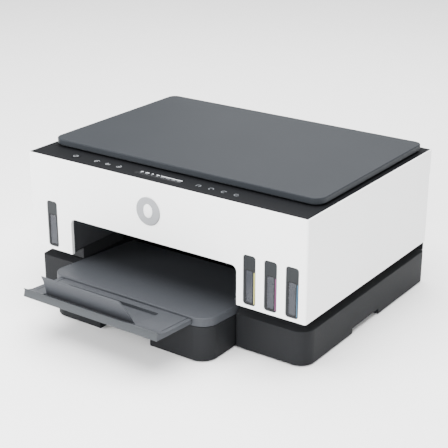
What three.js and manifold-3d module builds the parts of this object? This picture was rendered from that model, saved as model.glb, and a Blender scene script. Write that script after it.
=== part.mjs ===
// Desktop all-in-one inkjet printer with refillable ink tanks, as an assembly of separate parts.
// Millimetres, +X to the right, +Y to the rear, +Z up. The origin is on the surface that the
// printer stands on, under the middle of the whole outline. PLAN_SHIFT moves the parts there:
// every other Y below is counted from the middle of the white upper shell.
import * as THREE from 'three';
import { mergeVertices } from 'three/addons/utils/BufferGeometryUtils.js';
import Module from 'manifold-3d';

const wasm = await Module();
wasm.setup();

// ---------------------------------------------------------------- driving dimensions
const GAP = 0.3; // clearance between neighbouring pieces
const WALL = 2.5; // moulded wall

const SHELL = { x: 217.5, y: 159, bottom: 68, top: 200, wall: 3, corner: 3 };
const MOUTH = { left: -146.5, right: 119.5, top: 119.5, radius: 8, depth: 8.5 };
const WINDOW = { width: 18, bottom: 72.3, top: 137.4, radius: 4 };
const WINDOWS = [
  { name: 'black', x: -179.4, tank: [-206, -153] },
  { name: 'yellow', x: 138, tank: [124.5, 151.5] },
  { name: 'magenta', x: 168, tank: [154.5, 181.5] },
  { name: 'cyan', x: 198, tank: [184.5, 211.5] },
];
const LID = { x: 209.5, front: -119, rear: 147, bottom: 202.7, top: 210.6, corner: 16 };
const BED = { bottom: 170, top: 197, floor: 2.5 };
const GLASS = { x: 152, front: -97, rear: 127, thick: 2 };
const PANEL = { front: -157.4, rear: -119.4, bottom: 197.3 };
const BADGE = { x: -14, z: 159.6, radius: 18.7, thick: 0.9 };

const TUB = {
  left: -217.4, right: 210.5, front: -144, rear: 173, bottom: 1.5, wallTop: 47, top: 52.5,
  radii: [5, 20, 8, 8], grip: 8.4,
};
const TUNNEL = { left: -149, right: 109.5, rear: 152 };
const NECK = { left: -209, right: 202, front: -134, rear: 158, wall: 3, radii: [5, 14, 6, 6] };
const DECK = { bottom: 68.3, top: 71, x: 214, front: -150, rear: 155 };

const TRAY = {
  left: -145.5, right: 107, front: -204, rear: 148.5, bottom: 4, frontBottom: 1, corner: 22,
};
const BAY = { front: -156, rear: 146, floor: 6.5 };
const NOTCH = { left: -62, right: 20, height: 25, depth: 46, radius: 8 };
const SLOPE = THREE.MathUtils.degToRad(4); // the output tray rises towards the front
const PLATE = { top: 60, length: 170, thick: 11, skin: 3 };
const EXTENSION = {
  left: -126.5, right: 86, front: -68.2, rear: 60, top: -3.3, bottom: -8.9, lip: 2.2,
};
const FLAP = {
  left: -100, right: 42, taper: 9, length: 36.5, thick: 1.8, bulge: 1.2, axisY: -55, axisZ: -3.9,
};
const FLAP_OPEN = THREE.MathUtils.degToRad(120);

const PAPER = { middle: -20, width: 210, level: 74 };
const ROLLER = { z: 68, radius: 6, shaft: 3, feedY: 36, exitY: -36, transferY: -3 };
const CHEEK = { left: -131, right: 93, thick: 3 };
const GEAR = { module: 2, x: -184, width: 6, feed: 16, transfer: 23, exit: 10 };
const GEAR_WELL = { left: -187, front: -50, rear: 56 };
const RAIL = { x: 202.6, front: 45, rear: 58, bottom: 94, top: 128, thick: 2 };
const PULLEY = { x: 188, z: 111, radius: 6, belt: 1.2, front: 39.5, rear: 43.5 };
const CARRIAGE = { x: 158, half: 41, front: -30, rear: 38, bottom: 80, top: 118 };
const PICK = { armY: 72, armZ: 76, rollerY: 102, rollerZ: 49.5, radius: 10 };

// The front-most point is the tip of the open flap and the rear-most is the rear face.
const FRONT_MOST = -275.4;
const PLAN_SHIFT = -(FRONT_MOST + TUB.rear) / 2;

// ---------------------------------------------------------------- finishes
const finish = (color, roughness, metalness = 0) =>
  new THREE.MeshStandardMaterial({ color, roughness, metalness });
const WHITE = () => finish(0xf2f3f3, 0.55);
const CHARCOAL = () => finish(0x3d3e42, 0.6);
const BLACK = () => finish(0x1b1b1d, 0.7);
const GREY = () => finish(0x66686e, 0.55);
const STEEL = () => finish(0xb4b6b8, 0.35, 1);
const RUBBER = () => finish(0x202022, 0.9);

// ---------------------------------------------------------------- shape helpers
function solid(geometry) {
  const bare = geometry.clone();
  bare.deleteAttribute('normal');
  bare.deleteAttribute('uv');
  const merged = mergeVertices(bare, 1e-4);
  const vertProperties = new Float32Array(merged.attributes.position.array);
  const triVerts = new Uint32Array(merged.index.array);
  return new wasm.Manifold(new wasm.Mesh({ numProp: 3, vertProperties, triVerts }));
}

function geometryOf(manifold) {
  const { vertProperties, triVerts } = manifold.getMesh();
  const geometry = new THREE.BufferGeometry();
  geometry.setAttribute('position', new THREE.BufferAttribute(vertProperties, 3));
  geometry.setIndex(new THREE.BufferAttribute(triVerts, 1));
  geometry.computeVertexNormals();
  return geometry;
}

const join = (first, ...rest) => rest.reduce((sum, other) => sum.add(other), first);
const cut = (first, ...rest) => rest.reduce((sum, other) => sum.subtract(other), first);

function box(x0, x1, y0, y1, z0, z1) {
  const geometry = new THREE.BoxGeometry(x1 - x0, y1 - y0, z1 - z0);
  geometry.translate((x0 + x1) / 2, (y0 + y1) / 2, (z0 + z1) / 2);
  return solid(geometry);
}

const AXES = {
  x: new THREE.Matrix4().makeBasis(
    new THREE.Vector3(0, 1, 0), new THREE.Vector3(0, 0, 1), new THREE.Vector3(1, 0, 0)),
  y: new THREE.Matrix4().makeBasis(
    new THREE.Vector3(0, 0, 1), new THREE.Vector3(1, 0, 0), new THREE.Vector3(0, 1, 0)),
  z: new THREE.Matrix4(),
};

// An outline extruded along an axis. The outline's pair of coordinates is (y, z) along x,
// (z, x) along y and (x, y) along z.
function prism(axis, outline, from, to) {
  const shape = new THREE.Shape(outline.map(([a, b]) => new THREE.Vector2(a, b)));
  const geometry = new THREE.ExtrudeGeometry(shape, { depth: to - from, bevelEnabled: false });
  geometry.translate(0, 0, from);
  geometry.applyMatrix4(AXES[axis]);
  return solid(geometry);
}

// A round bar along an axis; centre holds the two coordinates across the axis, in prism's order.
function rod(axis, radius, from, to, centre, sides = 20) {
  const outline = Array.from({ length: sides }, (_, i) => {
    const turn = (2 * Math.PI * i) / sides;
    return [centre[0] + radius * Math.cos(turn), centre[1] + radius * Math.sin(turn)];
  });
  return prism(axis, outline, from, to);
}

// A rectangle with its own radius at each corner, counted anticlockwise from the low corner.
function roundedRect(a0, a1, b0, b1, radii, steps = 4) {
  const corners = [[a0, b0, 180], [a1, b0, 270], [a1, b1, 0], [a0, b1, 90]];
  return corners.flatMap(([a, b, start], i) => {
    const radius = radii[i];
    if (radius === 0) return [[a, b]];
    const ca = a + (a === a0 ? radius : -radius);
    const cb = b + (b === b0 ? radius : -radius);
    return Array.from({ length: steps + 1 }, (_, k) => {
      const turn = THREE.MathUtils.degToRad(start + (90 * k) / steps);
      return [ca + radius * Math.cos(turn), cb + radius * Math.sin(turn)];
    });
  });
}

// A closed skin through rings of points, each ring a convex loop with the same number of points.
function loft(rings) {
  const count = rings[0].length;
  const index = [];
  for (let r = 0; r + 1 < rings.length; r += 1) {
    for (let i = 0; i < count; i += 1) {
      const [a, b] = [r * count + i, r * count + ((i + 1) % count)];
      index.push(a, b, b + count, a, b + count, a + count);
    }
  }
  const last = (rings.length - 1) * count;
  for (let i = 1; i + 1 < count; i += 1) {
    index.push(0, i + 1, i, last, last + i, last + i + 1);
  }
  const geometry = new THREE.BufferGeometry();
  geometry.setAttribute('position', new THREE.Float32BufferAttribute(rings.flat(2), 3));
  geometry.setIndex(index);
  return solid(geometry);
}

// Rounded-rectangle levels: each level is [z, inset from the full outline].
function layered({ x0, x1, y0, y1, radii, steps }, levels) {
  return loft(levels.map(([z, inset]) =>
    roundedRect(x0 + inset, x1 - inset, y0 + inset, y1 - inset,
      radii.map((radius) => Math.max(radius - inset, 0.5)), steps).map(([x, y]) => [x, y, z])));
}

function gear(teeth, phase, from, to, y, z) {
  const { module } = GEAR;
  const pitchRadius = (teeth * module) / 2;
  const [tip, root] = [pitchRadius + 0.8 * module, pitchRadius - 1.25 * module];
  const corners = [[-0.26, root], [-0.11, tip], [0.11, tip], [0.26, root]];
  const outline = Array.from({ length: teeth }, (_, tooth) => corners.map(([part, radius]) => {
    const turn = phase + (2 * Math.PI * (tooth + part)) / teeth;
    return [y + radius * Math.cos(turn), z + radius * Math.sin(turn)];
  })).flat();
  return prism('x', outline, from, to);
}

const printer = new THREE.Group();
printer.position.y = PLAN_SHIFT;

function add(name, shape, material, parent = printer) {
  const mesh = new THREE.Mesh(geometryOf(shape), material);
  mesh.name = name;
  parent.add(mesh);
  return mesh;
}

// ---------------------------------------------------------------- base
function baseTub() {
  const { left, right, radii } = TUB;
  const outer = layered({ x0: left, x1: right, y0: TUB.front, y1: TUB.rear, radii, steps: 5 }, [
    [TUB.bottom, 0.8], [TUB.bottom + 1.2, 0], [TUB.wallTop, 0], [TUB.wallTop + 0.8, 0.8],
    [TUB.top, 8]]);
  const floor = TUB.bottom + 2;
  const bay = (x0, x1) => prism('z', roundedRect(x0, x1, TUB.front + 12, TUB.rear - 12,
    [4, 4, 4, 4], 2), floor, TUB.top + 1);
  const grip = (x0, x1) => box(x0, x1, -30, 40, 0, 9);
  return cut(outer,
    bay(left + 12, TUNNEL.left - WALL), bay(TUNNEL.right + WALL, right - 12),
    box(TUNNEL.left, TUNNEL.right, TUB.front - 1, TUNNEL.rear, floor, TUB.top + 1),
    grip(left - 1, left + TUB.grip), grip(right - TUB.grip, right + 1));
}
add('base_tub', baseTub(), CHARCOAL());

for (const [end, y] of [['front', -112], ['rear', 140]]) {
  for (const [side, x] of [['left', -180], ['right', 180]]) {
    add(`foot_${end}_${side}`, rod('z', 9, 0, TUB.bottom - GAP, [x, y], 16), RUBBER());
  }
}

function chassis() {
  const ring = (inset) => roundedRect(NECK.left + inset, NECK.right - inset, NECK.front + inset,
    NECK.rear - inset, NECK.radii.map((radius) => radius - inset), 4);
  const neck = cut(
    prism('z', ring(0), TUB.top + GAP, DECK.top),
    prism('z', ring(NECK.wall), TUB.top, DECK.top + 1));
  const decks = join(
    box(-DECK.x, TUNNEL.left - 0.6, DECK.front, DECK.rear, DECK.bottom, DECK.top),
    box(TUNNEL.right + 0.5, DECK.x, DECK.front, DECK.rear, DECK.bottom, DECK.top),
    box(TUNNEL.left - 2, TUNNEL.right + 2, 120, DECK.rear, DECK.bottom, DECK.top));
  const upright = (x0, x1) => box(x0, x1, 38, 72, DECK.top - 0.5, RAIL.top + 4);
  const walls = join(
    box(TUNNEL.left - 3, TUNNEL.left - 0.6, NECK.front, 106, TUB.top + GAP, DECK.top),
    box(TUNNEL.right + 0.5, TUNNEL.right + 2.5, NECK.front, 106, TUB.top + GAP, DECK.top));
  const mouth = box(TUNNEL.left - 0.6, TUNNEL.right + 0.5, NECK.front - 5, 100, 50, DECK.top + 1);
  const well = box(GEAR_WELL.left, TUNNEL.left, GEAR_WELL.front, GEAR_WELL.rear, 50, DECK.top + 1);
  return join(cut(join(neck, decks, walls), mouth, well), upright(-207, -203), upright(203, 207));
}
add('chassis', chassis(), BLACK());

function rearPanel() {
  const plate = layered({ x0: -205, x1: 205, y0: 161, y1: 172.7, radii: [2, 2, 5, 5], steps: 3 },
    [[TUB.top + GAP, 0], [160, 0], [164, 2]]);
  const flange = (x0, x1) => box(x0, x1, 158.5, 161.5, TUB.top + GAP, 164);
  const hollow = box(-202, 202, 160, 170, 57, 160);
  const doorway = box(-90.5, 70.5, 160, 175, 61.5, 130.5);
  const inletHole = box(-170.3, -139.7, 160, 175, 75.7, 96.3);
  const usbHole = box(128.7, 143.3, 160, 175, 77.7, 90.3);
  const buttonHole = rod('y', 5.4, 160, 175, [110, 135], 20);
  return cut(join(plate, flange(-212.8, -203), flange(203, 212.8)),
    hollow, doorway, inletHole, usbHole, buttonHole);
}
add('rear_panel', rearPanel(), CHARCOAL());

function rearDoor() {
  const skin = box(-90, 70, 169.2, 172.7, 62.3, 130);
  const ribs = [-70, -30, 10, 50].map((x) => prism('x',
    [[163, 66], [169.4, 66], [169.4, 124], [166, 124]], x - 1.5, x + 1.5));
  const pull = box(-25, 5, 168, 174, 120, 131);
  return cut(join(skin, ...ribs), pull);
}
add('rear_access_door', rearDoor(), CHARCOAL());

function socket(x0, x1, z0, z1, pin) {
  const body = box(x0, x1, 158, 172.7, z0, z1);
  const mouth = box(x0 + 2.5, x1 - 2.5, 161.5, 174, z0 + 2.5, z1 - 2.5);
  return join(cut(body, mouth), ...pin);
}
add('power_inlet', socket(-170, -140, 76, 96, [-161, -149].map((x) =>
  rod('y', 1.3, 161, 170, [86, x], 10))), BLACK());
add('usb_port', socket(129, 143, 78, 90, [box(133.5, 138.5, 161, 170, 82.5, 85.5)]), STEEL());
add('wireless_button', join(rod('y', 5, 164, 173 - GAP, [110, 135], 20),
  rod('y', 6.6, 163, 165.5, [110, 135], 20)), GREY());

// ---------------------------------------------------------------- paper path and carriage
function exitDuct() {
  const [outerLeft, innerLeft] = [MOUTH.left - WALL - 0.4, MOUTH.left - 0.4];
  const [innerRight, outerRight] = [MOUTH.right + 0.4, MOUTH.right + WALL + 0.4];
  const [y0, y1] = [-150, -62];
  return join(
    box(outerLeft, innerLeft, y0, y1, DECK.top + GAP, 122.4),
    box(innerRight, outerRight, y0, y1, DECK.top + GAP, 122.4),
    box(outerLeft, outerRight, y0, y1, 119.9, 122.4));
}
add('exit_duct', exitDuct(), BLACK());

function platen() {
  const cheek = (x) => {
    const side = prism('x', [[-44, 60], [66, 60], [66, 73.5], [44, 76], [-44, 76]],
      x, x + CHEEK.thick);
    const holes = [ROLLER.feedY, ROLLER.exitY].map((y) =>
      rod('x', ROLLER.shaft + GAP, x - 1, x + CHEEK.thick + 1, [y, ROLLER.z], 16));
    return cut(side, ...holes);
  };
  const transferAxis = [ROLLER.transferY, ROLLER.z];
  const bearing = cut(rod('x', 6, GEAR.x + GEAR.width + 1, CHEEK.left + 1, transferAxis, 16),
    rod('x', ROLLER.shaft + GAP, GEAR.x, CHEEK.left - 2, transferAxis, 16));
  const bed = box(CHEEK.left + 1, CHEEK.right + 1, -26, 24, 70, PAPER.level - 0.4);
  const beam = join(
    box(TUNNEL.left + 1, TUNNEL.right - 1, 57, 66, 63, PAPER.level - 0.5),
    box(-165, 117, 57, 66, DECK.top + GAP, PAPER.level - 0.5));
  const ribs = Array.from({ length: 9 }, (_, i) =>
    box(-115 + 24 * i, -113.5 + 24 * i, -26, 24, 73, PAPER.level + 0.6));
  return join(cheek(CHEEK.left), cheek(CHEEK.right), bearing, bed, beam, ...ribs);
}
add('platen', platen(), BLACK());

function roller(y, teeth, phase) {
  const shaft = rod('x', ROLLER.shaft, GEAR.x - 1, CHEEK.right + CHEEK.thick + 3, [y, ROLLER.z], 16);
  const tyres = Array.from({ length: 4 }, (_, i) => {
    const x = CHEEK.left + CHEEK.thick + 12 + i * 54;
    return rod('x', ROLLER.radius, x, x + 30, [y, ROLLER.z], 20);
  });
  return join(shaft, ...tyres, gear(teeth, phase, GEAR.x, GEAR.x + GEAR.width, y, ROLLER.z));
}
// The transfer gear shows the feed gear a gap and the exit gear a tooth, so the feed gear shows a
// tooth and the exit gear a gap.
add('feed_roller', roller(ROLLER.feedY, GEAR.feed, 0), RUBBER());
add('transfer_gear', join(
  gear(GEAR.transfer, Math.PI / GEAR.transfer, GEAR.x, GEAR.x + GEAR.width,
    ROLLER.transferY, ROLLER.z),
  rod('x', ROLLER.shaft, GEAR.x + GEAR.width - 1, CHEEK.left - 3,
    [ROLLER.transferY, ROLLER.z], 16)), finish(0xe8e6dc, 0.5));
add('exit_roller', roller(ROLLER.exitY, GEAR.exit, Math.PI / GEAR.exit), RUBBER());

function pickArm() {
  const slant = (x) => prism('x', [[PICK.armY - 5, PICK.armZ], [PICK.armY, PICK.armZ + 5],
    [PICK.rollerY + 4, PICK.rollerZ + 3], [PICK.rollerY + 2, PICK.rollerZ - 4],
    [PICK.armY - 2, PICK.armZ - 5]], x, x + 2.5);
  return join(slant(-38), slant(-4.5),
    rod('x', 3, -60, 20, [PICK.armY, PICK.armZ], 12),
    rod('x', 2, -37, -3, [PICK.rollerY, PICK.rollerZ], 12));
}
add('pick_arm', pickArm(), BLACK());
add('pick_roller', cut(rod('x', PICK.radius, -33, -7, [PICK.rollerY, PICK.rollerZ], 24),
  rod('x', 2 + GAP, -34, -6, [PICK.rollerY, PICK.rollerZ], 12)), RUBBER());

function rail() {
  const profile = [[RAIL.front, RAIL.bottom], [RAIL.front + 10, RAIL.bottom],
    [RAIL.front + 10, RAIL.bottom + RAIL.thick], [RAIL.front + RAIL.thick, RAIL.bottom + RAIL.thick],
    [RAIL.front + RAIL.thick, RAIL.top - RAIL.thick], [RAIL.rear, RAIL.top - RAIL.thick],
    [RAIL.rear, RAIL.top], [RAIL.front, RAIL.top]];
  const holes = [-PULLEY.x, PULLEY.x].map((x) => rod('y', 3, 44, 48, [PULLEY.z, x], 14));
  return cut(prism('x', profile, -RAIL.x, RAIL.x), ...holes);
}
add('carriage_rail', rail(), STEEL());

for (const [name, x, rear] of [['drive_pulley', -PULLEY.x, 48.7], ['idler_pulley', PULLEY.x, 50]]) {
  add(name, join(rod('y', PULLEY.radius - GAP, PULLEY.front, PULLEY.rear, [PULLEY.z, x], 24),
    rod('y', 1.8, PULLEY.rear - 1, rear, [PULLEY.z, x], 12)), finish(0xd9d4c4, 0.5));
}
add('carriage_motor', join(rod('y', 14, 49, 82, [PULLEY.z, -PULLEY.x], 28),
  rod('y', 6, 81, 84, [PULLEY.z, -PULLEY.x], 16)), STEEL());

function belt() {
  const arc = (side, radius, steps = 8) => Array.from({ length: steps + 1 }, (_, i) => {
    const turn = (side > 0 ? 0 : Math.PI) + (Math.PI * i) / steps;
    return [PULLEY.z + radius * Math.cos(turn), side * PULLEY.x + radius * Math.sin(turn)];
  });
  const loop = (radius) => [...arc(1, radius), ...arc(-1, radius)];
  return cut(prism('y', loop(PULLEY.radius + PULLEY.belt), PULLEY.front, PULLEY.rear),
    prism('y', loop(PULLEY.radius), PULLEY.front - 1, PULLEY.rear + 1));
}
add('timing_belt', belt(), RUBBER());

function carriageBody() {
  const { x, half, front, rear, bottom, top } = CARRIAGE;
  const body = box(x - half, x + half, front, rear, bottom, top);
  const pocket = box(x - half + 3, x + half - 3, front - 1, rear - 10, bottom + 6, top + 1);
  const nozzleSlot = box(x - 34, x + 34, front + 12, rear - 14, bottom - 1, bottom + 7);
  const arm = box(x - half, x + half, rear - 4, 62, 130, 133);
  const hook = box(x - half, x + half, 59.5, 62, 122, 131);
  const back = box(x - half, x + half, rear - 4, rear, top - 1, 131);
  return join(cut(body, pocket, nozzleSlot), arm, hook, back);
}
add('carriage', carriageBody(), BLACK());

function printheads() {
  const { x, front, rear, bottom } = CARRIAGE;
  const block = (x0, x1) => join(
    box(x0, x1, front + 3, rear - 10.5, bottom + 6.4, 108),
    box(x0 + 5, x1 - 5, front + 14, rear - 16, 76.5, bottom + 7));
  return join(block(x - 37.5, x - 1), block(x - 1.5, x + 37.5));
}
add('printheads', printheads(), finish(0x2a3238, 0.5));
add('printhead_latch', join(
  box(CARRIAGE.x - 30, CARRIAGE.x + 30, -27, 22, 109.5, 112.5),
  box(CARRIAGE.x - 26, CARRIAGE.x + 26, 19, 26, 109.5, 115),
  box(CARRIAGE.x - 8, CARRIAGE.x + 8, -28.5, -24, 108.8, 116)), finish(0x2f6fae, 0.5));

add('service_station', join(box(126, 200, -27, 30, DECK.top + GAP, 74),
  box(132, 150, -10, 18, 73.5, 75.9), box(166, 184, -10, 18, 73.5, 75.9)), GREY());
add('power_supply', box(-205, -155, 90, 150, DECK.top + GAP, 132), BLACK());
add('main_board', join(box(118, 195, 146, 148, DECK.top + GAP, 150),
  box(133, 158, 141.5, 146.5, 95, 118), box(165, 183, 143, 146.5, 110, 130),
  box(123, 189, 140, 146.5, 76, 84)), finish(0x2c6b45, 0.5));

// ---------------------------------------------------------------- ink tanks
for (const { name, tank: [x0, x1] } of WINDOWS) {
  const middle = (x0 + x1) / 2;
  const neckY = -118;
  add(`tank_${name}`, join(
    prism('z', roundedRect(x0, x1, -149.6, -92, [4, 4, 4, 4], 3), DECK.top + GAP, 134),
    rod('z', 7, 133, 139, [middle, neckY], 18)), finish(0x9aa0a6, 0.3));
  const pinY = neckY + 12;
  add(`cap_${name}`, cut(join(
    prism('z', roundedRect(middle - 9.5, middle + 9.5, neckY - 10, pinY + 2, [5, 5, 1, 1], 3), 135, 145),
    rod('x', 2.2, middle - 9.5, middle + 9.5, [pinY, 142], 12)),
  rod('z', 7.4, 134, 139.4, [middle, neckY], 18),
  box(middle - 12, middle + 12, neckY, pinY + 4, 134, 139.6)), BLACK());
}

// ---------------------------------------------------------------- upper unit
function upperShell() {
  const { x, y, wall, bottom, top, corner } = SHELL;
  const radii = Array(4).fill(corner);
  const outer = layered({ x0: -x, x1: x, y0: -y, y1: y, radii, steps: 3 },
    [[bottom, 0], [top - 1, 0], [top, 0.8]]);
  const inside = box(-x + wall, x - wall, -y + wall, y - wall, bottom - 1, BED.top + GAP);
  const roof = box(-x + 1.6, x - 1.6, PANEL.front - 0.4, y - 1.6, BED.top, top + 1);
  const rear = box(-x + wall, x - wall, y - wall - 1, y + 1, bottom - 1, BED.bottom - 4);
  const rearEdges = box(-x - 1, x + 1, y - 0.6, y + 1, bottom - 1, BED.bottom - 4);
  const { left, right, top: mouthTop, radius, depth } = MOUTH;
  const opening = (grow) => roundedRect(bottom - 2, mouthTop + grow, left - grow, right + grow,
    [0, radius + grow, radius + grow, 0], 5);
  const rim = prism('y', opening(WALL), -y + 0.5, -y + depth);
  const windows = WINDOWS.map((window) => prism('y', roundedRect(WINDOW.bottom, WINDOW.top,
    window.x - WINDOW.width / 2, window.x + WINDOW.width / 2,
    Array(4).fill(WINDOW.radius), 3), -y - 1, -y + wall + 1));
  const hollow = cut(outer, inside, roof, rear, rearEdges);
  const below = box(-x - 1, x + 1, -y - 1, y + 1, bottom - 5, bottom);
  return cut(join(hollow, rim), prism('y', opening(0), -y - 1, -y + depth + 1), below, ...windows);
}
add('upper_shell', upperShell(), WHITE());

for (const { name, x } of WINDOWS) {
  const inset = (grow) => roundedRect(WINDOW.bottom + grow, WINDOW.top - grow,
    x - WINDOW.width / 2 + grow, x + WINDOW.width / 2 - grow,
    Array(4).fill(WINDOW.radius - grow), 3);
  add(`window_${name}`, prism('y', inset(GAP), -SHELL.y + 0.3, -SHELL.y + 2.8), finish(0x55585c, 0.3));
}
add('badge', rod('y', BADGE.radius, -SHELL.y - GAP - BADGE.thick, -SHELL.y - GAP,
  [BADGE.z, BADGE.x], 48), finish(0xc9cacb, 0.35, 1));

function scannerBed() {
  const [x, y] = [SHELL.x - SHELL.wall - GAP, SHELL.y - SHELL.wall - GAP];
  const tub = cut(box(-x, x, -y, y, BED.bottom, BED.top),
    box(-x + WALL, x - WALL, -y + WALL, y - WALL, BED.bottom + BED.floor, BED.top + 1));
  return join(tub, rod('x', 3, -x + 1, x - 1, [15, BED.bottom + 12], 14));
}
add('scanner_bed', scannerBed(), BLACK());

function scannerFrame() {
  const x = SHELL.x - 2;
  const window = box(-GLASS.x + 2, GLASS.x - 2, GLASS.front + 2, GLASS.rear - 2,
    BED.top - 1, SHELL.top + 1);
  const rebate = box(-GLASS.x - GAP, GLASS.x + GAP, GLASS.front - GAP, GLASS.rear + GAP,
    SHELL.top - GLASS.thick - GAP, SHELL.top + 1);
  return cut(box(-x, x, PANEL.rear + GAP, SHELL.y - 2, BED.top + GAP, SHELL.top), window, rebate);
}
add('scanner_frame', scannerFrame(), CHARCOAL());
add('scanner_glass', box(-GLASS.x, GLASS.x, GLASS.front, GLASS.rear,
  SHELL.top - GLASS.thick, SHELL.top), finish(0xc8d0d2, 0.05));

function scanBar() {
  const x = -190;
  const bar = box(x - 9, x + 9, GLASS.front, GLASS.rear, 184, 193.5);
  const block = box(x - 9, x + 9, 5, 25, 175.5, 185);
  const bush = rod('x', 3.3, x - 10, x + 10, [15, BED.bottom + 12], 14);
  return cut(join(bar, block), bush);
}
add('scan_bar', scanBar(), BLACK());

const DISPLAY = { left: -48, right: 24, front: -144.5, rear: -131.5, depth: 0.9 };
const POWER = { x: -151, y: -138, radius: 6.5 };
function controlPanel() {
  const x = SHELL.x - 2;
  const plate = box(-x, x, PANEL.front, PANEL.rear, PANEL.bottom, SHELL.top);
  const recess = box(DISPLAY.left - GAP, DISPLAY.right + GAP, DISPLAY.front - GAP, DISPLAY.rear + GAP,
    SHELL.top - DISPLAY.depth - GAP, SHELL.top + 1);
  const buttonHole = rod('z', POWER.radius + GAP, PANEL.bottom - 1, SHELL.top + 1,
    [POWER.x, POWER.y], 28);
  return cut(plate, recess, buttonHole);
}
add('control_panel', controlPanel(), finish(0x4a4d52, 0.35));
add('display', box(DISPLAY.left, DISPLAY.right, DISPLAY.front, DISPLAY.rear,
  SHELL.top - DISPLAY.depth, SHELL.top + 0.1), finish(0x1c1e22, 0.15));
add('power_button', rod('z', POWER.radius, BED.top + 1.3, SHELL.top + 0.4, [POWER.x, POWER.y], 28),
  finish(0x4a4d52, 0.35));

function lid() {
  const outline = { x0: -LID.x, x1: LID.x, y0: LID.front, y1: LID.rear,
    radii: [LID.corner, LID.corner, 6, 6], steps: 6 };
  return layered(outline, [[LID.bottom, 1], [LID.bottom + 1, 0], [LID.top - 1.2, 0], [LID.top, 1.2]]);
}
function lidKnuckles() {
  return [-150, 150].map((x) => rod('x', 2.4, x - 14, x + 14, [150.2, 204], 14)
    .add(box(x - 14, x + 14, 145, 150.5, LID.bottom + 0.2, 206)));
}
add('scanner_lid', join(lid(), ...lidKnuckles()), GREY());
add('lid_pad', box(-GLASS.x - 6, GLASS.x + 6, GLASS.front - 6, GLASS.rear + 6,
  SHELL.top + GAP, LID.bottom - GAP), WHITE());

// ---------------------------------------------------------------- paper tray
function inputTray() {
  const { left, right, front, rear, bottom, frontBottom, corner } = TRAY;
  const tall = PLATE.top;
  const head = prism('z', roundedRect(left, right, front, TUB.front - 1.5,
    [corner, corner, 0, 0], 6), frontBottom, tall);
  const body = box(left, right, TUB.front - 2, rear, bottom, tall);
  const bay = box(left + WALL, right - WALL, BAY.front, BAY.rear, BAY.floor, tall + 1);
  const rest = PLATE.top - PLATE.thick - 0.7;
  const drop = Math.tan(SLOPE * 1.05);
  const tail = front + PLATE.length;
  const cover = prism('x', [[front - 5, rest + 5 * drop], [tail, rest - PLATE.length * drop],
    [rear + 5, rest - PLATE.length * drop], [rear + 5, tall + 5], [front - 5, tall + 5]],
  left - 5, right + 5);
  const notch = prism('y', roundedRect(frontBottom - 5, NOTCH.height, NOTCH.left, NOTCH.right,
    [0, NOTCH.radius, NOTCH.radius, 0], 4), front - 5, front + NOTCH.depth);
  return cut(join(head, body), bay, cover, notch);
}
add('input_tray', inputTray(), CHARCOAL());

const guideZ = BAY.floor + GAP;
for (const [name, out] of [['left', -1], ['right', 1]]) {
  const edge = PAPER.middle + out * (PAPER.width / 2 + 1);
  const [thin, wide] = [edge + out * 2.5, edge + out * 12];
  add(`width_guide_${name}`, join(
    box(Math.min(edge, thin), Math.max(edge, thin), -110, -30, guideZ, 27),
    box(Math.min(edge, wide), Math.max(edge, wide), -100, -40, guideZ, guideZ + 2.5)), GREY());
}
add('length_guide', join(box(-50, 10, 142, 145, guideZ, 26),
  box(-35, -5, 112, 143, guideZ, guideZ + 2)), GREY());

const slope = new THREE.Group();
slope.position.set(0, TRAY.front, PLATE.top);
slope.rotation.x = -SLOPE;
printer.add(slope);

// The output tray, its extension and the flap are drawn flat, in the sloping tray's own frame:
// y runs back from the tray's front edge and z is 0 on its top face.
function outputTray() {
  const { left, right, corner } = TRAY;
  const radii = [corner, corner, 2, 2];
  const plate = layered({ x0: left, x1: right, y0: 0, y1: PLATE.length, radii, steps: 6 },
    [[-PLATE.thick, 0], [-1.2, 0], [0, 1.2]]);
  const channel = box(EXTENSION.left - 0.5, EXTENSION.right + 0.5, -1, 126,
    -PLATE.thick + 1.8, -PLATE.skin);
  const underside = box(EXTENSION.left + 5, EXTENSION.right - 5, -1, 126, -PLATE.thick - 1, -PLATE.skin);
  return cut(plate, channel, underside);
}
add('output_tray', outputTray(), GREY(), slope);

function extension() {
  const { left, right, front, rear, top, bottom, lip } = EXTENSION;
  const profile = [[front, bottom], [rear, bottom], [rear, top], [front + 16, top],
    [front + 1.7, lip - 0.6], [front + 0.8, lip], [front, lip - 0.4]];
  const pocket = box(FLAP.left - 3, FLAP.right + 3, FLAP.axisY - 5, FLAP.axisY + 44, bottom + 1.6, lip + 5);
  return cut(prism('x', profile, left, right), pocket);
}
add('tray_extension', extension(), GREY(), slope);

const flapGroup = new THREE.Group();
flapGroup.position.set(0, FLAP.axisY, FLAP.axisZ);
flapGroup.rotation.x = FLAP_OPEN;
slope.add(flapGroup);

// The flap is drawn lying back in its pocket: a scooped blade that narrows to its free edge.
function flap() {
  const steps = 8;
  const rings = Array.from({ length: steps + 1 }, (_, i) => {
    const part = i / steps;
    const sag = -4 * FLAP.bulge * part * (1 - part);
    const y = 0.6 + FLAP.length * part;
    const [x0, x1] = [FLAP.left + FLAP.taper * part, FLAP.right - FLAP.taper * part];
    return [[x0, y, sag - FLAP.thick], [x1, y, sag - FLAP.thick], [x1, y, sag], [x0, y, sag]];
  });
  return join(loft(rings.reverse()), rod('x', 1.7, FLAP.left, FLAP.right, [0, 0], 14));
}
add('extension_flap', flap(), GREY(), flapGroup);

export default printer;
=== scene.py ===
# %% [markdown]
# # A desktop inkjet printer with refillable tanks
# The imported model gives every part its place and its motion. This lesson gives each part its
# finished surface: rounded mouldings, satin plastics, ink windows and a soft studio around them.

import math

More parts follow.
